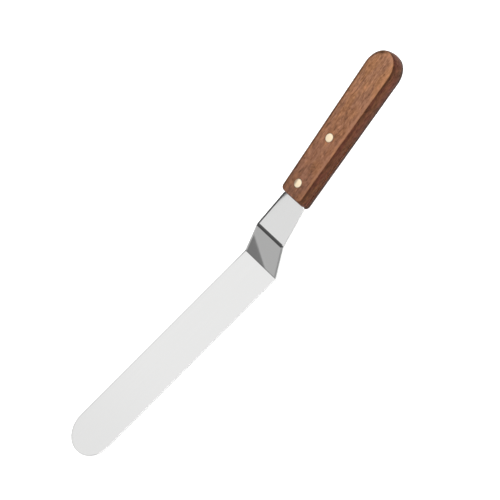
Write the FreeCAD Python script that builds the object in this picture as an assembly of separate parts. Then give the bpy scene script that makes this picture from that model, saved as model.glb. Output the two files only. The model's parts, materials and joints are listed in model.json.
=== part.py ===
"""Offset spatula: a cranked steel blade riveted into a slotted wooden handle.

Frame: +X runs from the round tip toward the handle, +Z is up, Y runs across.
The origin is the middle of the flat blade's underside. Sizes are millimetres.
"""
import FreeCAD
import Part
import math
import os

Vec = FreeCAD.Vector

# Steel strip, one piece from the round tip to the end of the tang
SHEET = 1.2
BLADE_LENGTH = 168.5
BLADE_WIDTH = 33.3
CRANK_RUN = 17.1
CRANK_RISE = 15.1
UPPER_BEND_WIDTH = 28.1
NECK_LENGTH = 28.1
NECK_END_WIDTH = 21.0
LOWER_BEND_INNER_RADIUS = 0.9
UPPER_BEND_INNER_RADIUS = 4.7
OUTLINE_BLEND_RADIUS = 5.0
STEEL_EDGE_RADIUS = 0.3

# Tang, the flat end of the strip that sits in the handle's slot, behind two shoulders
TANG_LENGTH = 49.8
TANG_WIDTH = 17.8
TANG_CORNER_RADIUS = 3.0
SHOULDER_AHEAD = 0.5
SHOULDER_DEPTH = 1.3
SHOULDER_RADIUS = 0.7

# Wooden handle, in line with the neck and the tang
HANDLE_TILT_DEG = 17.5
HANDLE_LENGTH = 110.5
HANDLE_THICKNESS = 12.7
HANDLE_FRONT_WIDTH = 18.9
HANDLE_BUTT_WIDTH = 21.8
SIDE_BULGE = 0.9
FRONT_LEAN = 3.2
BUTT_DEPTH = 12.9
FRONT_CORNER_RADIUS = 3.3
RIM_RADIUS = 1.3
STEEL_BELOW_MIDDLE = 1.4

# Saw slot through both sides of the handle's front part
SLOT_LENGTH = 50.4
SLOT_CLEARANCE = 0.05

# Two-piece brass rivets: a post pressed into a tubular sleeve
RIVET_STATIONS = {"front_rivet": 10.9, "rear_rivet": 45.6}
RIVET_HEAD_DIAMETER = 5.8
RIVET_HEAD_THICKNESS = 1.3
RIVET_HEAD_DOME = 0.2
RIVET_SLEEVE_DIAMETER = 4.2
RIVET_POST_DIAMETER = 3.0
RIVET_BORE_DIAMETER = 4.4
SLEEVE_END_GAP = 0.6
POST_END_GAP = 0.4

TILT = math.radians(HANDLE_TILT_DEG)
HEEL_X = BLADE_LENGTH / 2
HALF_THICKNESS = HANDLE_THICKNESS / 2


def rounded_path(points, radii, closed):
    """Edges along the points, with an arc of the given radius at each corner."""
    count = len(points)
    starts = list(points)
    ends = list(points)
    arcs = {}
    inner = range(count) if closed else range(1, count - 1)
    for i in inner:
        corner = points[i]
        back = (points[i - 1] - corner).normalize()
        ahead = (points[(i + 1) % count] - corner).normalize()
        half_angle = math.acos(max(-1.0, min(1.0, back.dot(ahead)))) / 2
        reach = radii[i] / math.tan(half_angle)
        centre = corner + (back + ahead).normalize() * (radii[i] / math.sin(half_angle))
        middle = centre + (corner - centre).normalize() * radii[i]
        ends[i] = corner + back * reach
        starts[i] = corner + ahead * reach
        arcs[i] = Part.Arc(ends[i], middle, starts[i]).toShape()
    edges = []
    for i in range(count if closed else count - 1):
        if i in arcs:
            edges.append(arcs[i])
        following = (i + 1) % count
        if (ends[following] - starts[i]).Length > 1e-6:
            edges.append(Part.LineSegment(starts[i], ends[following]).toShape())
    return edges


def solid_prism(edges, direction):
    """Solid swept from a closed flat outline along a straight direction."""
    outline = Part.Wire(Part.__sortEdges__(edges))
    return Part.Face(outline).extrude(direction)


def strip_top_corners():
    """Corners of the strip's upper surface in side view, from the tip to the tang's end."""
    heel = Vec(HEEL_X, 0, SHEET)
    upper_bend = heel + Vec(CRANK_RUN, 0, CRANK_RISE)
    along = Vec(math.cos(TILT), 0, math.sin(TILT))
    tang_end = upper_bend + along * (NECK_LENGTH + TANG_LENGTH)
    return [Vec(-HEEL_X, 0, SHEET), heel, upper_bend, tang_end]


def offset_below(corners, thickness):
    """The same corners moved to the strip's lower surface."""
    normals = []
    for start, end in zip(corners, corners[1:]):
        along = (end - start).normalize()
        normals.append(Vec(along.z, 0, -along.x))
    moved = [corners[0] + normals[0] * thickness]
    for i in range(1, len(corners) - 1):
        both = normals[i - 1] + normals[i]
        moved.append(corners[i] + both * (2 * thickness / both.dot(both)))
    moved.append(corners[-1] + normals[-1] * thickness)
    return moved


def strip_side_view():
    """Strip of even thickness with two round bends, as wide as the blade.

    The lower bend is tight and hollow on top, the upper bend is wide and round on top.
    """
    lower = LOWER_BEND_INNER_RADIUS
    upper = UPPER_BEND_INNER_RADIUS
    top = strip_top_corners()
    bottom = offset_below(top, SHEET)
    edges = rounded_path(top, [0, lower, upper + SHEET, 0], closed=False)
    edges += rounded_path(bottom, [0, lower + SHEET, upper, 0], closed=False)
    edges.append(Part.LineSegment(top[0], bottom[0]).toShape())
    edges.append(Part.LineSegment(top[-1], bottom[-1]).toShape())
    strip = solid_prism(edges, Vec(0, BLADE_WIDTH, 0))
    strip.translate(Vec(0, -BLADE_WIDTH / 2, 0))
    return strip


def strip_plan_view():
    """Outline seen from above: round tip, straight blade, tapered crank and neck, tang."""
    tip, heel, upper_bend, tang_end = strip_top_corners()
    neck_end_x = upper_bend.x + NECK_LENGTH * math.cos(TILT) - SHOULDER_AHEAD
    stations = [
        (tip.x, BLADE_WIDTH, BLADE_WIDTH / 2),
        (heel.x, BLADE_WIDTH, OUTLINE_BLEND_RADIUS),
        (upper_bend.x, UPPER_BEND_WIDTH, OUTLINE_BLEND_RADIUS),
        (neck_end_x, NECK_END_WIDTH, SHOULDER_RADIUS),
        (neck_end_x + SHOULDER_DEPTH, TANG_WIDTH, SHOULDER_RADIUS),
        (tang_end.x, TANG_WIDTH, TANG_CORNER_RADIUS),
    ]
    right = [Vec(x, -width / 2, 0) for x, width, _ in stations]
    left = [Vec(x, width / 2, 0) for x, width, _ in reversed(stations)]
    radii = [radius for _, _, radius in stations]
    outline = rounded_path(right + left, radii + radii[::-1], closed=True)
    height = tang_end.z + 2 * SHEET
    plan = solid_prism(outline, Vec(0, 0, height))
    plan.translate(Vec(0, 0, -SHEET / 2))
    return plan


def is_long_rim(edge, crossing_x):
    """True for an edge of the strip's outline, not one across it or through it."""
    across = abs(edge.Vertexes[0].Point.y - edge.Vertexes[-1].Point.y)
    middle = edge.valueAt((edge.FirstParameter + edge.LastParameter) / 2)
    through = edge.Length < SHEET * 1.05
    bend_line = across > TANG_WIDTH and min(abs(middle.x - x) for x in crossing_x) < 3.0
    return not through and not bend_line


def blade():
    """One steel strip: flat blade, crank, neck and drilled tang."""
    strip = strip_side_view().common(strip_plan_view()).removeSplitter()
    corners = strip_top_corners()
    crossing_x = [corners[1].x, corners[2].x, corners[3].x]
    rims = [edge for edge in strip.Edges if is_long_rim(edge, crossing_x)]
    strip = strip.makeFillet(STEEL_EDGE_RADIUS, rims)
    for station in RIVET_STATIONS.values():
        strip = strip.cut(handle_hole(station, RIVET_BORE_DIAMETER))
    return strip


def place_on_handle(shape):
    """Move a shape from the handle's own frame to its place behind the neck.

    In the handle's frame X runs back from the front end, Z is across the
    thickness and zero is the middle of the front end.
    """
    upper_bend = strip_top_corners()[2]
    along = Vec(math.cos(TILT), 0, math.sin(TILT))
    normal = Vec(-math.sin(TILT), 0, math.cos(TILT))
    middle_above_steel = STEEL_BELOW_MIDDLE - SHEET / 2
    front = upper_bend + along * NECK_LENGTH + normal * middle_above_steel
    shape.rotate(Vec(0, 0, 0), Vec(0, 1, 0), -HANDLE_TILT_DEG)
    shape.translate(front)
    return shape


def handle_hole(station, diameter):
    """Cylinder across the whole handle at a rivet's station, placed in the part."""
    base = Vec(station, 0, -HALF_THICKNESS - 1)
    hole = Part.makeCylinder(diameter / 2, HANDLE_THICKNESS + 2, base)
    return place_on_handle(hole)


def butt_tangent(front, butt, depth, widest_x):
    """Point where a straight side from the front corner touches the butt's half ellipse."""
    stretch = depth / butt
    offset = front * stretch
    reach = math.hypot(widest_x, offset)
    angle = math.atan2(-offset, widest_x) + math.asin(depth / reach)
    length = math.sqrt(reach ** 2 - depth ** 2)
    return length * math.cos(angle), (offset + length * math.sin(angle)) / stretch


def handle_outline(height):
    """Handle outline at a height from its middle plane.

    The sides bulge at the middle, and the front end leans so that its lower
    edge stands ahead of its upper edge.
    """
    front_x = FRONT_LEAN * height / HANDLE_THICKNESS
    widen = SIDE_BULGE * (1 - (height / HALF_THICKNESS) ** 2)
    front = HANDLE_FRONT_WIDTH / 2 + widen
    butt = HANDLE_BUTT_WIDTH / 2 + widen
    depth = BUTT_DEPTH + widen
    widest_x = HANDLE_LENGTH - SIDE_BULGE - BUTT_DEPTH
    touch_x, touch_y = butt_tangent(front, butt, depth, widest_x - front_x)
    touch_x += front_x
    front_end = Part.LineSegment(Vec(front_x, -front, height), Vec(front_x, front, height))
    edges = [front_end.toShape()]
    for side in (-1, 1):
        corner = Vec(front_x, side * front, height)
        touch = Vec(touch_x, side * touch_y, height)
        edges.append(Part.LineSegment(corner, touch).toShape())
    apex = Vec(widest_x + depth, 0, height)
    flank = Vec(widest_x, butt, height)
    sweep = math.atan2(touch_y / butt, (touch_x - widest_x) / depth)
    butt_curve = Part.Ellipse(apex, flank, Vec(widest_x, 0, height))
    edges.append(butt_curve.toShape(-sweep, sweep))
    return Part.Wire(Part.__sortEdges__(edges))


def handle_block():
    """Handle before drilling: bulged sides, round butt and rounded edges."""
    levels = [HALF_THICKNESS * part for part in (-1, -0.5, 0, 0.5, 1)]
    block = Part.makeLoft([handle_outline(level) for level in levels], True, False)
    front_corners = []
    for edge in block.Edges:
        ends = [vertex.Point for vertex in edge.Vertexes]
        at_front = all(abs(point.x) < FRONT_LEAN for point in ends)
        if at_front and abs(ends[0].z - ends[-1].z) > 1:
            front_corners.append(edge)
    block = block.makeFillet(FRONT_CORNER_RADIUS, front_corners)
    long_rims = []
    for edge in block.Edges:
        if all(abs(abs(vertex.Point.z) - HALF_THICKNESS) < 0.01 for vertex in edge.Vertexes):
            long_rims.append(edge)
    return block.makeFillet(RIM_RADIUS, long_rims)


def handle():
    """Wooden handle with its saw slot and two counterbored rivet holes."""
    body = handle_block()
    slot_height = SHEET + 2 * SLOT_CLEARANCE
    slot = Part.makeBox(SLOT_LENGTH + FRONT_LEAN, 2 * BLADE_WIDTH, slot_height)
    slot.translate(Vec(-FRONT_LEAN, -BLADE_WIDTH, -STEEL_BELOW_MIDDLE - slot_height / 2))
    body = body.cut(slot)
    seat = HALF_THICKNESS - RIVET_HEAD_THICKNESS
    for station in RIVET_STATIONS.values():
        for base in (-HALF_THICKNESS - 1, seat):
            recess_height = RIVET_HEAD_THICKNESS + 1
            recess = Part.makeCylinder(RIVET_HEAD_DIAMETER / 2, recess_height, Vec(station, 0, base))
            body = body.cut(recess)
        through = Part.makeCylinder(RIVET_BORE_DIAMETER / 2, HANDLE_THICKNESS + 2,
                                    Vec(station, 0, -HALF_THICKNESS - 1))
        body = body.cut(through)
    return place_on_handle(body)


def rivet_head(flip):
    """Flush head with a slightly domed outer face, under the handle's surface."""
    radius = RIVET_HEAD_DIAMETER / 2
    seat = HALF_THICKNESS - RIVET_HEAD_THICKNESS
    rim = Vec(radius, 0, HALF_THICKNESS)
    crown = Vec(0, 0, HALF_THICKNESS + RIVET_HEAD_DOME)
    sphere_radius = (radius ** 2 + RIVET_HEAD_DOME ** 2) / (2 * RIVET_HEAD_DOME)
    half = radius / 2
    drop = sphere_radius - math.sqrt(sphere_radius ** 2 - half ** 2)
    between = Vec(half, 0, crown.z - drop)
    edges = [
        Part.LineSegment(Vec(0, 0, seat), Vec(radius, 0, seat)).toShape(),
        Part.LineSegment(Vec(radius, 0, seat), rim).toShape(),
        Part.Arc(rim, between, crown).toShape(),
        Part.LineSegment(crown, Vec(0, 0, seat)).toShape(),
    ]
    profile = Part.Face(Part.Wire(Part.__sortEdges__(edges)))
    head = profile.revolve(Vec(0, 0, 0), Vec(0, 0, 1), 360)
    if flip:
        head.rotate(Vec(0, 0, 0), Vec(1, 0, 0), 180)
    return head


def rivet_post(station):
    """Upper half of a rivet: a head with a solid post that goes down into the sleeve."""
    seat = HALF_THICKNESS - RIVET_HEAD_THICKNESS
    end = -seat + POST_END_GAP
    shank = Part.makeCylinder(RIVET_POST_DIAMETER / 2, seat - end, Vec(0, 0, end))
    post = rivet_head(flip=False).fuse(shank).removeSplitter()
    post.translate(Vec(station, 0, 0))
    return place_on_handle(post)


def rivet_sleeve(station):
    """Lower half of a rivet: a head with a tubular shank around the post."""
    seat = HALF_THICKNESS - RIVET_HEAD_THICKNESS
    length = 2 * seat - SLEEVE_END_GAP
    tube = Part.makeCylinder(RIVET_SLEEVE_DIAMETER / 2, length, Vec(0, 0, -seat))
    bore = Part.makeCylinder(RIVET_POST_DIAMETER / 2, length + 1, Vec(0, 0, -seat))
    sleeve = rivet_head(flip=True).fuse(tube.cut(bore)).removeSplitter()
    sleeve.translate(Vec(station, 0, 0))
    return place_on_handle(sleeve)


def main():
    """Write every sub-part as its own STEP file."""
    os.makedirs("parts", exist_ok=True)
    nodes = {"blade": blade(), "handle": handle()}
    for name, station in RIVET_STATIONS.items():
        nodes[name + "_post"] = rivet_post(station)
        nodes[name + "_sleeve"] = rivet_sleeve(station)
    for name, shape in nodes.items():
        shape.exportStep(os.path.join("parts", name + ".step"))


main()
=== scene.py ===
import json
import math

import bpy
from mathutils import Matrix, Vector


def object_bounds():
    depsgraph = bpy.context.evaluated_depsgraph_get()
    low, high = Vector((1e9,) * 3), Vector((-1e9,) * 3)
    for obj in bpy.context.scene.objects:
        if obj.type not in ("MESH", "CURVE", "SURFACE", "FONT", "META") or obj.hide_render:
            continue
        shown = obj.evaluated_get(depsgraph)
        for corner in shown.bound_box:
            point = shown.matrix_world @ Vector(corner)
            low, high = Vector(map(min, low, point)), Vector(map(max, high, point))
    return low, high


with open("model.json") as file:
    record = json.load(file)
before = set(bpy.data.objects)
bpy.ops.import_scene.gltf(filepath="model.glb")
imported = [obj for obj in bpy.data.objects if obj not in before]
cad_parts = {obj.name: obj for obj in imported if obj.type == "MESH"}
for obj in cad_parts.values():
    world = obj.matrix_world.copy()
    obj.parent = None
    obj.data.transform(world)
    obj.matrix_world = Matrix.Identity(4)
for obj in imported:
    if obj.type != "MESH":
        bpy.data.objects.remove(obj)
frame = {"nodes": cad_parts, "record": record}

cad_low, cad_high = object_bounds()

# Lengths are in metres, in the part's frame: +X toward the handle, +Y the far side, +Z up.
# A ramp is written (from, to) when it goes from 0 to 1, or (from, to, first value, last value).
# A spread is the two values that the middle of a noise's range is carried to.

# Camera
AIM = Vector((0.08622, 0.00902, 0.00776))
CAMERA_DISTANCE = 0.8572
CAMERA_AZIMUTH_DEG = -92.79
CAMERA_ELEVATION_DEG = 54.34
CAMERA_ROLL_DEG = -42.72
LENS_MM = 95.28
SENSOR_MM = 36.0

# Outline of the steel strip: where its width changes, and its half widths there. Its flat blade
# starts at the part's lowest x, is centred on x = 0 and is the widest piece; its tip is half round.
BLADE_HALF_WIDTH = cad_high.y
TIP_RADIUS = BLADE_HALF_WIDTH
HALF_WIDTHS = (
    (cad_low.x, BLADE_HALF_WIDTH),
    (-cad_low.x, BLADE_HALF_WIDTH),
    (0.10135, 0.01405),
    (0.12765, 0.0105),
)

# Handle: its own axis leaves the table at this angle, from the middle of its front end
HANDLE_TILT_DEG = 17.5
HANDLE_FRONT = Vector((0.12791, 0.0, 0.02551))
FRONT_HALF_WIDTH = 0.00945
BUTT_HALF_WIDTH = 0.0109
BUTT_START = 0.0967
BUTT_DEPTH = 0.0129
RIVET_STATIONS = (0.0109, 0.0456)
RIVET_RADIUS = 0.0029

# Steel's tones and finish; the lines run along the strip
STEEL_DARK = (0.88, 0.88, 0.875, 1)
STEEL_BRIGHT = (0.915, 0.915, 0.91, 1)
# Painted shade: downward-facing faces of the steel are darker
UNDERSIDE_SHADE = (-0.1, -0.4, 1.0, 0.62)
BUFFING_SCALE = (18.0, 2600.0, 900.0)
BUFFING_DEPTH = 3.0e-8
CLOUD_SCALE = (30.0, 60.0, 60.0)
BUFFED_ROUGHNESS_SPREAD = (0.008, 0.016)
CLOUDED_ROUGHNESS_SPREAD = (0.0, 0.008)

# Steel's edges, by distance from the outline
BEVEL_HEIGHT = (0.0, 0.0016, -0.00007, 0.0)
# Painted shade: the steel's base tone darkened in a thin line along its outline
EDGE_PAINTED_SHADE = (0.0006, 0.0002, 1.0, 0.77)
EDGE_ROUGHNESS = (0.00035, 0.0, 0.0, 0.35)
# Width and tone of the painted shade along the strip's far edge
FAR_EDGE_SHADE_WIDTH = (0.0018, 0.0006)
FAR_EDGE_SHADE_TONE = 0.45

# Painted shade and painted dark reflection on the steel's far edge, by place along and across the
# strip
FAR_EDGE_SHADE_BEFORE_BEND = (0.070, 0.082, 0.0, 0.55)
FAR_EDGE_SHADE_PAST_BEND = (0.0850, 0.0843)
FAR_EDGE_SHADE_BY_HANDLE = (0.116, 0.127)
STRIP_FAR_SIDE = (0.0, 0.002)

# Wood's colours on the top and bottom faces, from the front end to the butt, and on the sides; the
# sides' colours are the wood's own red-brown darkened as painted shade
WOOD_FRONT = (0.236, 0.109, 0.063, 1)
WOOD_MIDDLE = (0.315, 0.143, 0.077, 1)
WOOD_BUTT = (0.366, 0.173, 0.090, 1)
FRONT_TO_MIDDLE = (0.0, 0.035)
MIDDLE_TO_BUTT = (0.04, 0.10)
COOL_TINT = (0.965, 0.975, 1.06)
WARM_TINT = (1.045, 1.01, 0.93)
SHADED_SIDE_RED = (0.168, 0.049, 0.025, 1)
SHADED_SIDE_BROWN = (0.150, 0.054, 0.0205, 1)
TINT_SCALE = (70.0, 260.0, 260.0)
TINT_PATCHES = (0.35, 0.65)
FACE_FACING = (0.55, 0.92)

# Wood's painted highlight along the near edge of the faces
CREASE_HIGHLIGHT_EDGE = (0.0032, 0.0012)
CREASE_HIGHLIGHT_SIDE = (0.003, -0.003)
CREASE_HIGHLIGHT_TONE = 1.28
CREASE_HIGHLIGHT_CALM = 0.6
# Painted shade on the faces: along the far edge, the front end and its far corner
FACE_SHADE_EDGE = (0.0021, 0.0012)
FACE_SHADE_SIDE = (-0.002, 0.004)
FACE_SHADE_FRONT = (0.0019, 0.0008, 0.0, 0.75)
FACE_SHADE_CORNER_ALONG = (0.0040, 0.0015)
FACE_SHADE_CORNER_ACROSS = (0.0064, 0.0086)
FACE_SHADE_TONE = 0.42
# Painted shadow in the gap round each rivet: its width and tone
RIVET_SHADOW_WIDTH = 0.0006
RIVET_SHADOW_TONE = 0.45

# Painted shade on the wood's sides, by height over the handle's axis
SIDE_DARK_HEIGHT = -0.0065
SIDE_SHADING = (0.0, 0.0125, 0.72, 1.0)
LOWER_RIM_SHADE = (-0.0008, -0.0052, 1.0, 0.36)
UNDER_CREASE_SHADE = (0.0028, 0.0050, 1.0, 0.66)

# Wood's grain: noise scales along, across and up, and the brightness that each brings
SWAY_SCALE = (55.0, 60.0, 60.0)
SWAY_LENGTH = 0.006
STREAK_SCALE = (105.0, 820.0, 820.0)
STREAK_SPREAD = (0.72, 1.29)
CURL_SCALE = (400.0, 520.0, 520.0)
CURL_SPREAD = (0.76, 1.24)
FIBRE_SCALE = (260.0, 3800.0, 3800.0)
FIBRE_SPREAD = (0.93, 1.07)
FLECK_SCALE = (260.0, 1000.0, 1000.0)
FLECK_PORES = (0.55, 0.70)
PORE_TONE = (0.0, 1.0, 1.03, 0.56)
WOOD_ROUGHNESS = (0.7, 1.2, 0.6, 0.42)
WOOD_SPECULAR = 0.08
GRAIN_DEPTH = 3.0e-5
PORE_DEPTH = 5.0e-5
WOOD_BUMP_STRENGTH = 0.6

# Brass
BRASS_DEEP = (1.0, 0.84, 0.61, 1)
BRASS_PALE = (1.0, 0.90, 0.70, 1)
# Dark colour laid on the head rims and, as a painted dark reflection, on the front rivet's far side
BRASS_DARK_RIM_AND_REFLECTION = (0.33, 0.21, 0.13, 1)
SCRATCH_SCALE = (900.0, 4200.0, 400.0)
BRASS_ROUGHNESS_SPREAD = (0.58, 0.72)
# Painted dark reflection on the front rivet's far side: where it lies and how strong it is
DARK_REFLECTION_ACROSS = (0.0004, 0.0024)
DARK_REFLECTION_ALONG = (0.03, 0.02)
DARK_REFLECTION_SHARE = 0.75
HEAD_RIM_START = 0.80 * RIVET_RADIUS
HEAD_RIM_SHARE = 0.35

# Floor
FLOOR_HALF_SIZE = 3.0
FLOOR_GAP = 0.0002
FLOOR_COLOUR = (0.92, 0.92, 0.92, 1)
FLOOR_ROUGHNESS = 0.9
FLOOR_GLOW = 0.62

# Studio room: ramps over the parts of a unit vector toward the room's walls
NEAR_LEVEL = (0.02, 0.10, 0.85, 0.50)
NEAR_TO_FAR = (-0.35, 0.25)
FAR_LEVEL = 0.90
TIP_SIDE_DIMMING = (-0.07, -0.17, 0.0, 0.045)
LOWER_DIMMING = (0.798, 0.74, 0.0, 0.065)
RING_LOWER_RIM = (0.90, 0.93)
RING_UPPER_RIM = (0.98, 0.96)
RING_LEVEL = 3.3

# Studio's dark card and what stands below and beside it; azimuths count from +X toward +Y.
# A border is two directions, (azimuth, elevation), that it passes through.
CARD_BORDER = ((124.46, 44.29), (124.04, 44.69))
CARD_STRAIGHT_TOP_DEG = 42.4
CARD_HIGHEST_DEG = 46.0
CARD_BOTTOM_DEG = 9.0
CARD_SIDES_DEG = (114.0, 147.3)
CARD_LEVEL = (0.35, 0.68, 0.072, 0.11)
SHADE_BORDER = ((143.56, 8.00), (144.73, 7.51))
SHADE_SIDES_DEG = (142.3, 160.0)
SHADE_LEVEL = 0.20
BESIDE_SHADE_LEVEL = (0.2, 0.5, 0.455, 0.50)
CORNER_SIDES_DEG = (CARD_SIDES_DEG[1], 165.0)
CORNER_TOP_DEG = 20.0
CORNER_LEVEL = 0.33

# Softness of the card's borders: in degrees, or as a part of the unit vector's height
BORDER_SOFT_DEG = 0.03
SHADE_GLOW_SOFT_DEG = 0.35
SIDES_SOFT_DEG = 0.5
SHADE_SIDES_SOFT_DEG = 0.4
STRAIGHT_TOP_SOFT = 0.001
HIGHEST_SOFT = 0.01
BOTTOM_SOFT = 0.005
CORNER_TOP_SOFT = 0.05


def direction(azimuth_deg, elevation_deg):
    """Unit vector toward an azimuth, counted from +X toward +Y, and an elevation."""
    azimuth = math.radians(azimuth_deg)
    elevation = math.radians(elevation_deg)
    flat = math.cos(elevation)
    return Vector((flat * math.cos(azimuth), flat * math.sin(azimuth), math.sin(elevation)))


def add_camera():
    """Long-lens camera high on the near side, rolled so that the blade lies diagonally."""
    data = bpy.data.cameras.new("camera")
    data.lens = LENS_MM
    data.sensor_width = SENSOR_MM
    camera = bpy.data.objects.new("camera", data)
    back = direction(CAMERA_AZIMUTH_DEG, CAMERA_ELEVATION_DEG)
    level_right = Vector((0, 0, 1)).cross(back).normalized()
    level_up = back.cross(level_right)
    roll = math.radians(CAMERA_ROLL_DEG)
    right = level_right * math.cos(roll) + level_up * math.sin(roll)
    up = back.cross(right)
    rotation = Matrix((right, up, back)).transposed().to_4x4()
    camera.matrix_world = Matrix.Translation(AIM + back * CAMERA_DISTANCE) @ rotation
    bpy.context.scene.collection.objects.link(camera)
    bpy.context.scene.camera = camera


class Nodes:
    """Short calls that add nodes to one node tree and return their output sockets."""

    NOISE_MIDDLE = (0.3, 0.7)

    def __init__(self, tree):
        self.tree = tree

    def add(self, kind, inputs=(), **settings):
        """Node with its settings; inputs maps a socket's name or number to a socket or value."""
        node = self.tree.nodes.new(kind)
        for name, value in settings.items():
            setattr(node, name, value)
        for key, value in dict(inputs).items():
            self.put(value, node.inputs[key])
        return node

    def put(self, value, socket):
        """Link a socket, or set a plain value."""
        if isinstance(value, bpy.types.NodeSocket):
            self.tree.links.new(value, socket)
        else:
            socket.default_value = value

    def math(self, operation, first, second=0.0):
        return self.add("ShaderNodeMath", {0: first, 1: second}, operation=operation).outputs[0]

    def product(self, first, second):
        return self.math("MULTIPLY", first, second)

    def vector(self, operation, first, second=(0.0, 0.0, 0.0), output="Vector"):
        node = self.add("ShaderNodeVectorMath", {0: first, 1: second}, operation=operation)
        return node.outputs[output]

    def length(self, vector):
        return self.vector("LENGTH", vector, output="Value")

    def dot(self, first, second):
        return self.vector("DOT_PRODUCT", first, tuple(second), output="Value")

    def scale(self, vector, factor):
        node = self.add("ShaderNodeVectorMath", {0: vector, "Scale": factor}, operation="SCALE")
        return node.outputs["Vector"]

    def combine(self, **parts):
        """Vector made of its parts X, Y and Z; a part left out is 0."""
        return self.add("ShaderNodeCombineXYZ", parts).outputs[0]

    def split(self, vector):
        return self.add("ShaderNodeSeparateXYZ", {0: vector}).outputs

    def ramp(self, value, low, high, start=0.0, end=1.0, smooth=True):
        """Value carried from low..high to start..end, held level outside."""
        kind = "SMOOTHSTEP" if smooth else "LINEAR"
        inputs = {"Value": value, "From Min": low, "From Max": high, "To Min": start, "To Max": end}
        node = self.add("ShaderNodeMapRange", inputs, interpolation_type=kind)
        return node.outputs["Result"]

    def toward(self, share, end):
        """1 where the share is 0, the end value where the share is 1."""
        return self.ramp(share, 0.0, 1.0, 1.0, end, smooth=False)

    def fade(self, value, share, target):
        """Value moved toward a target by a share."""
        keep = self.product(value, self.math("SUBTRACT", 1.0, share))
        return self.math("ADD", keep, self.product(share, target))

    def mix(self, share, first, second):
        """Blend two colours: inputs 6 and 7 and output 2 are the node's colour sockets."""
        node = self.add("ShaderNodeMix", data_type="RGBA")
        self.put(share, node.inputs["Factor"])
        self.put(first, node.inputs[6])
        self.put(second, node.inputs[7])
        return node.outputs[2]

    def noise(self, vector, scale, detail=2.0, roughness=0.5):
        """Noise between 0 and 1 over a vector stretched by scale."""
        stretched = self.vector("MULTIPLY", vector, scale)
        inputs = {"Vector": stretched, "Scale": 1.0, "Detail": detail, "Roughness": roughness}
        return self.add("ShaderNodeTexNoise", inputs).outputs[0]

    def spread(self, noise, start, end, smooth=True):
        """The middle of a noise's range carried to start..end."""
        return self.ramp(noise, *self.NOISE_MIDDLE, start, end, smooth)

    def bump(self, height, strength=1.0):
        """Shading normal tilted by a height in metres."""
        inputs = {"Height": height, "Distance": 1.0, "Strength": strength}
        return self.add("ShaderNodeBump", inputs).outputs[0]

    def coordinate(self, name):
        return self.add("ShaderNodeTexCoord").outputs[name]


def new_material(name):
    """Empty node material: the material, its node helper and its Principled shader."""
    material = bpy.data.materials.new(name)
    material.use_nodes = True
    shader = material.node_tree.nodes["Principled BSDF"]
    return material, Nodes(material.node_tree), shader


def edge_distance(nodes, place):
    """Distance from a point of the strip to its outline, seen from above."""
    x, y, _ = nodes.split(place)
    half_width = HALF_WIDTHS[0][1]
    for (x0, width0), (x1, width1) in zip(HALF_WIDTHS, HALF_WIDTHS[1:]):
        if width0 != width1:
            step = nodes.ramp(x, x0, x1, 0.0, width1 - width0, smooth=False)
            half_width = nodes.math("ADD", half_width, step)
    past_centre = nodes.math("SUBTRACT", x, HALF_WIDTHS[0][0] + TIP_RADIUS)
    past_centre = nodes.math("MINIMUM", past_centre, 0.0)
    return nodes.math("SUBTRACT", half_width, nodes.length(nodes.combine(X=past_centre, Y=y)))


def strip_far_edge_shade(nodes, place, edge):
    """Painted shade and painted dark reflection on the strip's far edge beside the lower bend and by
    the handle: a factor.
    """
    x, y, _ = nodes.split(place)
    before_bend = nodes.ramp(x, *FAR_EDGE_SHADE_BEFORE_BEND)
    by_bend = nodes.product(before_bend, nodes.ramp(x, *FAR_EDGE_SHADE_PAST_BEND))
    beside = nodes.math("MAXIMUM", by_bend, nodes.ramp(x, *FAR_EDGE_SHADE_BY_HANDLE))
    on_edge = nodes.product(nodes.ramp(edge, *FAR_EDGE_SHADE_WIDTH), nodes.ramp(y, *STRIP_FAR_SIDE))
    return nodes.toward(nodes.product(beside, on_edge), FAR_EDGE_SHADE_TONE)


def underside_shade(nodes):
    """Painted shade: the strip's downward-facing faces are darkened: a factor."""
    return nodes.ramp(nodes.split(nodes.coordinate("Normal"))[2], *UNDERSIDE_SHADE)


def steel():
    """Mirror-bright stainless steel: faint lengthwise buffing lines and softly ground edges."""
    material, nodes, shader = new_material("steel")
    place = nodes.coordinate("Object")
    lines = nodes.noise(place, BUFFING_SCALE, detail=3.0)
    clouds = nodes.noise(place, CLOUD_SCALE)
    edge = edge_distance(nodes, place)

    tone = nodes.mix(lines, STEEL_DARK, STEEL_BRIGHT)
    # Painted shade: a thin darker line along the outline
    tone = nodes.scale(tone, nodes.ramp(edge, *EDGE_PAINTED_SHADE))
    # Painted shade and painted dark reflection along the far edge
    tone = nodes.scale(tone, strip_far_edge_shade(nodes, place, edge))
    # Painted shade on the downward-facing faces
    tone = nodes.scale(tone, underside_shade(nodes))
    nodes.put(tone, shader.inputs["Base Color"])
    shader.inputs["Metallic"].default_value = 1.0

    rough = nodes.spread(lines, *BUFFED_ROUGHNESS_SPREAD)
    rough = nodes.math("ADD", rough, nodes.spread(clouds, *CLOUDED_ROUGHNESS_SPREAD))
    rough = nodes.math("ADD", rough, nodes.ramp(edge, *EDGE_ROUGHNESS))
    nodes.put(rough, shader.inputs["Roughness"])

    bevel = nodes.ramp(edge, *BEVEL_HEIGHT, smooth=False)
    height = nodes.math("ADD", bevel, nodes.product(lines, BUFFING_DEPTH))
    nodes.put(nodes.bump(height), shader.inputs["Normal"])
    return material


def handle_place(nodes):
    """Object position turned and moved into the handle's own frame: along, across and up."""
    from_front = nodes.vector("SUBTRACT", nodes.coordinate("Object"), tuple(HANDLE_FRONT))
    turn = {"Vector": from_front, "Axis": (0.0, 1.0, 0.0), "Angle": math.radians(HANDLE_TILT_DEG)}
    return nodes.add("ShaderNodeVectorRotate", turn, rotation_type="AXIS_ANGLE").outputs[0]


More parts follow.
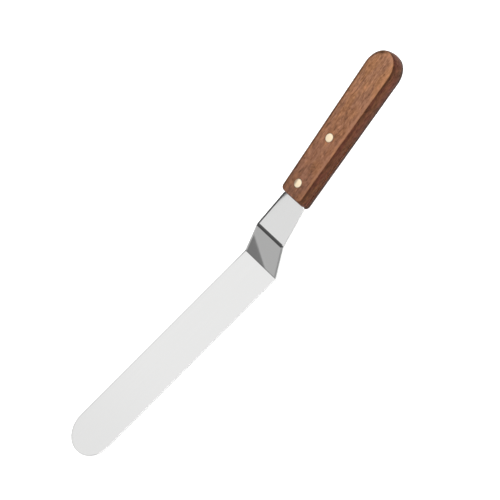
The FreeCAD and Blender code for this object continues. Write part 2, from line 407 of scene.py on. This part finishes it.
def rivet_distance(nodes, place):
    """Distance from a point of the handle's frame to the nearest rivet's axis."""
    distances = []
    for station in RIVET_STATIONS:
        offset = nodes.vector("SUBTRACT", place, (station, 0.0, 0.0))
        distances.append(nodes.length(nodes.vector("MULTIPLY", offset, (1.0, 1.0, 0.0))))
    return nodes.math("MINIMUM", *distances)


def handle_edge_distance(nodes, place):
    """Distance from a point of the handle to its outline, seen square to the face."""
    along, across, _ = nodes.split(place)
    half_width = nodes.ramp(along, 0.0, BUTT_START, FRONT_HALF_WIDTH, BUTT_HALF_WIDTH, smooth=False)
    past = nodes.math("MAXIMUM", nodes.math("SUBTRACT", along, BUTT_START), 0.0)
    past = nodes.product(past, BUTT_HALF_WIDTH / BUTT_DEPTH)
    return nodes.math("SUBTRACT", half_width, nodes.length(nodes.combine(X=past, Y=across)))


def face_share(nodes):
    """1 on the handle's top and bottom faces, 0 on its sides and round its butt."""
    tilt = math.radians(HANDLE_TILT_DEG)
    facing = nodes.dot(nodes.coordinate("Normal"), (-math.sin(tilt), 0.0, math.cos(tilt)))
    return nodes.ramp(nodes.math("ABSOLUTE", facing), *FACE_FACING)


def wood_grain(nodes, place):
    """Brightness of the grain round 1, and its dark pores from 0 to 1."""
    sway = nodes.noise(place, SWAY_SCALE, detail=1.0)
    sway = nodes.product(nodes.math("SUBTRACT", sway, 0.5), SWAY_LENGTH)
    swayed = nodes.vector("ADD", place, nodes.combine(Y=sway, Z=sway))
    streaks = nodes.noise(swayed, STREAK_SCALE, detail=3.0, roughness=0.6)
    curls = nodes.noise(swayed, CURL_SCALE)
    fibre = nodes.noise(place, FIBRE_SCALE)
    pore = nodes.ramp(nodes.noise(swayed, FLECK_SCALE), *FLECK_PORES)
    value = nodes.spread(streaks, *STREAK_SPREAD, smooth=False)
    value = nodes.product(value, nodes.spread(curls, *CURL_SPREAD, smooth=False))
    value = nodes.product(value, nodes.spread(fibre, *FIBRE_SPREAD, smooth=False))
    value = nodes.product(value, nodes.ramp(pore, *PORE_TONE, smooth=False))
    return value, pore


def wood_painted_shade(nodes, along, across, edge):
    """Share of painted shade on the handle's faces: along the far edge, the front end and its far
    corner.
    """
    shade_share = nodes.product(nodes.ramp(edge, *FACE_SHADE_EDGE), nodes.ramp(across, *FACE_SHADE_SIDE))
    shade_share = nodes.math("MAXIMUM", shade_share, nodes.ramp(along, *FACE_SHADE_FRONT))
    corner_across = nodes.ramp(across, *FACE_SHADE_CORNER_ACROSS)
    corner = nodes.product(nodes.ramp(along, *FACE_SHADE_CORNER_ALONG), corner_across)
    return nodes.math("MAXIMUM", shade_share, corner)


def face_colour(nodes, along, patches):
    """Colour of the handle's faces: paler toward the butt, in cool and warm patches."""
    base = nodes.mix(nodes.ramp(along, *FRONT_TO_MIDDLE), WOOD_FRONT, WOOD_MIDDLE)
    base = nodes.mix(nodes.ramp(along, *MIDDLE_TO_BUTT), base, WOOD_BUTT)
    cool = nodes.vector("MULTIPLY", base, COOL_TINT)
    warm = nodes.vector("MULTIPLY", base, WARM_TINT)
    return nodes.mix(patches, cool, warm)


def shaded_side_colour(nodes, up, patches):
    """Colour of the handle's sides with painted shade: darkest low down and just under the top rim."""
    over_dark = nodes.math("ABSOLUTE", nodes.math("SUBTRACT", up, SIDE_DARK_HEIGHT))
    # Painted shade at the lower rim and just under the top crease
    rim_shades = nodes.product(nodes.ramp(up, *LOWER_RIM_SHADE), nodes.ramp(up, *UNDER_CREASE_SHADE))
    shading = nodes.product(nodes.ramp(over_dark, *SIDE_SHADING), rim_shades)
    return nodes.scale(nodes.mix(patches, SHADED_SIDE_RED, SHADED_SIDE_BROWN), shading)


def wood():
    """Oiled straight-grained hardwood: streaks, curls and short pores along the handle."""
    material, nodes, shader = new_material("wood")
    place = handle_place(nodes)
    along, across, up = nodes.split(place)
    edge = handle_edge_distance(nodes, place)
    on_face = face_share(nodes)
    grain, pore = wood_grain(nodes, place)
    patches = nodes.ramp(nodes.noise(place, TINT_SCALE), *TINT_PATCHES)

    # Painted highlight: the faces' near edge brightened, with calmer grain
    crease_highlight = nodes.product(nodes.ramp(edge, *CREASE_HIGHLIGHT_EDGE), nodes.ramp(across, *CREASE_HIGHLIGHT_SIDE))
    shade_share = wood_painted_shade(nodes, along, across, edge)
    face = nodes.scale(face_colour(nodes, along, patches), nodes.toward(crease_highlight, CREASE_HIGHLIGHT_TONE))
    # Painted shade darkens the faces along the far edge, the front end and its far corner
    face = nodes.scale(face, nodes.toward(shade_share, FACE_SHADE_TONE))
    # The sides take the painted-shade colour; the top and bottom faces take the unshaded one
    colour = nodes.mix(on_face, shaded_side_colour(nodes, up, patches), face)

    calm = nodes.product(nodes.product(crease_highlight, on_face), CREASE_HIGHLIGHT_CALM)
    value = nodes.fade(grain, calm, 1.0)
    # Painted shadow: the wood darkened in a ring round each rivet
    ring = (RIVET_RADIUS, RIVET_RADIUS + RIVET_SHADOW_WIDTH, RIVET_SHADOW_TONE, 1.0)
    value = nodes.product(value, nodes.ramp(rivet_distance(nodes, place), *ring))
    nodes.put(nodes.scale(colour, value), shader.inputs["Base Color"])
    nodes.put(nodes.ramp(grain, *WOOD_ROUGHNESS), shader.inputs["Roughness"])
    shader.inputs["Specular IOR Level"].default_value = WOOD_SPECULAR

    grain_height = nodes.product(grain, GRAIN_DEPTH)
    height = nodes.math("SUBTRACT", grain_height, nodes.product(pore, PORE_DEPTH))
    nodes.put(nodes.bump(height, WOOD_BUMP_STRENGTH), shader.inputs["Normal"])
    return material


def brass():
    """Pale brushed brass: fine turning scratches, darker head rims and a painted dark reflection on
    the front rivet's far side.
    """
    material, nodes, shader = new_material("brass")
    place = handle_place(nodes)
    along, across, _ = nodes.split(place)
    scratches = nodes.noise(place, SCRATCH_SCALE, detail=3.0)
    # Painted dark reflection on the front rivet's far side
    dark_reflection = nodes.product(nodes.ramp(across, *DARK_REFLECTION_ACROSS), nodes.ramp(along, *DARK_REFLECTION_ALONG))
    rim = nodes.ramp(rivet_distance(nodes, place), HEAD_RIM_START, RIVET_RADIUS)
    dark_reflection = nodes.product(dark_reflection, DARK_REFLECTION_SHARE)
    rim_and_reflection_darkening = nodes.math("MAXIMUM", dark_reflection, nodes.product(rim, HEAD_RIM_SHARE))
    tone = nodes.mix(scratches, BRASS_DEEP, BRASS_PALE)
    nodes.put(nodes.mix(rim_and_reflection_darkening, tone, BRASS_DARK_RIM_AND_REFLECTION), shader.inputs["Base Color"])
    shader.inputs["Metallic"].default_value = 1.0
    nodes.put(nodes.spread(scratches, *BRASS_ROUGHNESS_SPREAD), shader.inputs["Roughness"])
    return material


def dress(slot_materials):
    """Give every node the material of its slot in the record."""
    for entry in frame["record"]["subparts"]:
        node = frame["nodes"][entry["node"]]
        node.data.materials.clear()
        node.data.materials.append(slot_materials[entry["material_slot"]])


def add_floor():
    """Large matte white table just under the blade, bright enough to show as pure white."""
    half = FLOOR_HALF_SIZE
    z = cad_low.z - FLOOR_GAP
    corners = [(-half, -half, z), (half, -half, z), (half, half, z), (-half, half, z)]
    mesh = bpy.data.meshes.new("floor")
    mesh.from_pydata(corners, [], [(0, 1, 2, 3)])
    floor = bpy.data.objects.new("floor", mesh)
    bpy.context.scene.collection.objects.link(floor)
    material, _, shader = new_material("floor")
    shader.inputs["Base Color"].default_value = FLOOR_COLOUR
    shader.inputs["Roughness"].default_value = FLOOR_ROUGHNESS
    shader.inputs["Emission Color"].default_value = (1, 1, 1, 1)
    shader.inputs["Emission Strength"].default_value = FLOOR_GLOW
    mesh.materials.append(material)


def below_border(nodes, view, border, soft_deg):
    """1 below the great circle through a border's two directions, 0 above it."""
    first, second = border
    normal = direction(*first).cross(direction(*second)).normalized()
    if normal.z > 0:
        normal = -normal
    soft = math.sin(math.radians(soft_deg))
    return nodes.ramp(nodes.dot(view, normal), -soft, soft)


def below_elevation(nodes, height, elevation_deg, soft):
    """1 below an elevation, 0 above it."""
    level = math.sin(math.radians(elevation_deg))
    return nodes.ramp(height, level + soft, level - soft)


def between_azimuths(nodes, view, low_deg, high_deg, soft_deg):
    """1 between two azimuths, 0 outside them."""
    soft = math.sin(math.radians(soft_deg))
    left = nodes.ramp(nodes.dot(view, direction(low_deg + 90, 0)), -soft, soft)
    right = nodes.ramp(nodes.dot(view, direction(high_deg - 90, 0)), -soft, soft)
    return nodes.product(left, right)


def room_level(nodes, view):
    """Brightness of the white room: dim on the near side, with a ring of strong light overhead."""
    along, across, height = nodes.split(view)
    near = nodes.ramp(height, *NEAR_LEVEL)
    level = nodes.fade(near, nodes.ramp(across, *NEAR_TO_FAR), FAR_LEVEL)
    level = nodes.math("SUBTRACT", level, nodes.ramp(along, *TIP_SIDE_DIMMING))
    level = nodes.math("SUBTRACT", level, nodes.ramp(height, *LOWER_DIMMING))
    ring = nodes.product(nodes.ramp(height, *RING_LOWER_RIM), nodes.ramp(height, *RING_UPPER_RIM))
    return nodes.math("ADD", level, nodes.product(ring, RING_LEVEL))


def below_card_top(nodes, view, height):
    """1 below the dark card's top edge, which is straight with a slanting piece above it."""
    slanting = nodes.product(below_border(nodes, view, CARD_BORDER, BORDER_SOFT_DEG),
                             below_elevation(nodes, height, CARD_HIGHEST_DEG, HIGHEST_SOFT))
    straight = below_elevation(nodes, height, CARD_STRAIGHT_TOP_DEG, STRAIGHT_TOP_SOFT)
    return nodes.math("MAXIMUM", slanting, straight)


def under_card_level(nodes, view):
    """Brightness under the card: mid grey, with a dark shade below its own slanting border."""
    shade = nodes.product(below_border(nodes, view, SHADE_BORDER, BORDER_SOFT_DEG),
                          between_azimuths(nodes, view, *SHADE_SIDES_DEG, SHADE_SIDES_SOFT_DEG))
    near_shade = below_border(nodes, view, SHADE_BORDER, SHADE_GLOW_SOFT_DEG)
    return nodes.fade(nodes.ramp(near_shade, *BESIDE_SHADE_LEVEL), shade, SHADE_LEVEL)


def corner_share(nodes, view, height):
    """1 in the low grey corner beside the card, 0 outside it."""
    sides = between_azimuths(nodes, view, *CORNER_SIDES_DEG, SIDES_SOFT_DEG)
    return nodes.product(sides, below_elevation(nodes, height, CORNER_TOP_DEG, CORNER_TOP_SOFT))


def add_world():
    """White studio room with one dark card, and greys under and beside it, for the steel to mirror."""
    world = bpy.data.worlds.new("studio")
    bpy.context.scene.world = world
    world.use_nodes = True
    nodes = Nodes(world.node_tree)
    view = nodes.coordinate("Generated")
    height = nodes.split(view)[2]
    sides = between_azimuths(nodes, view, *CARD_SIDES_DEG, SIDES_SOFT_DEG)
    under = below_elevation(nodes, height, CARD_BOTTOM_DEG, BOTTOM_SOFT)
    above = nodes.math("SUBTRACT", 1.0, under)
    card = nodes.product(nodes.product(below_card_top(nodes, view, height), sides), above)

    level = nodes.fade(room_level(nodes, view), corner_share(nodes, view, height), CORNER_LEVEL)
    level = nodes.fade(level, card, nodes.ramp(height, *CARD_LEVEL))
    level = nodes.fade(level, nodes.product(sides, under), under_card_level(nodes, view))
    background = world.node_tree.nodes["Background"]
    nodes.put(level, background.inputs["Strength"])
    background.inputs["Color"].default_value = (1, 1, 1, 1)


add_camera()
dress({"steel": steel(), "wood": wood(), "brass": brass()})
add_floor()
add_world()
bpy.context.scene.view_settings.view_transform = "Standard"
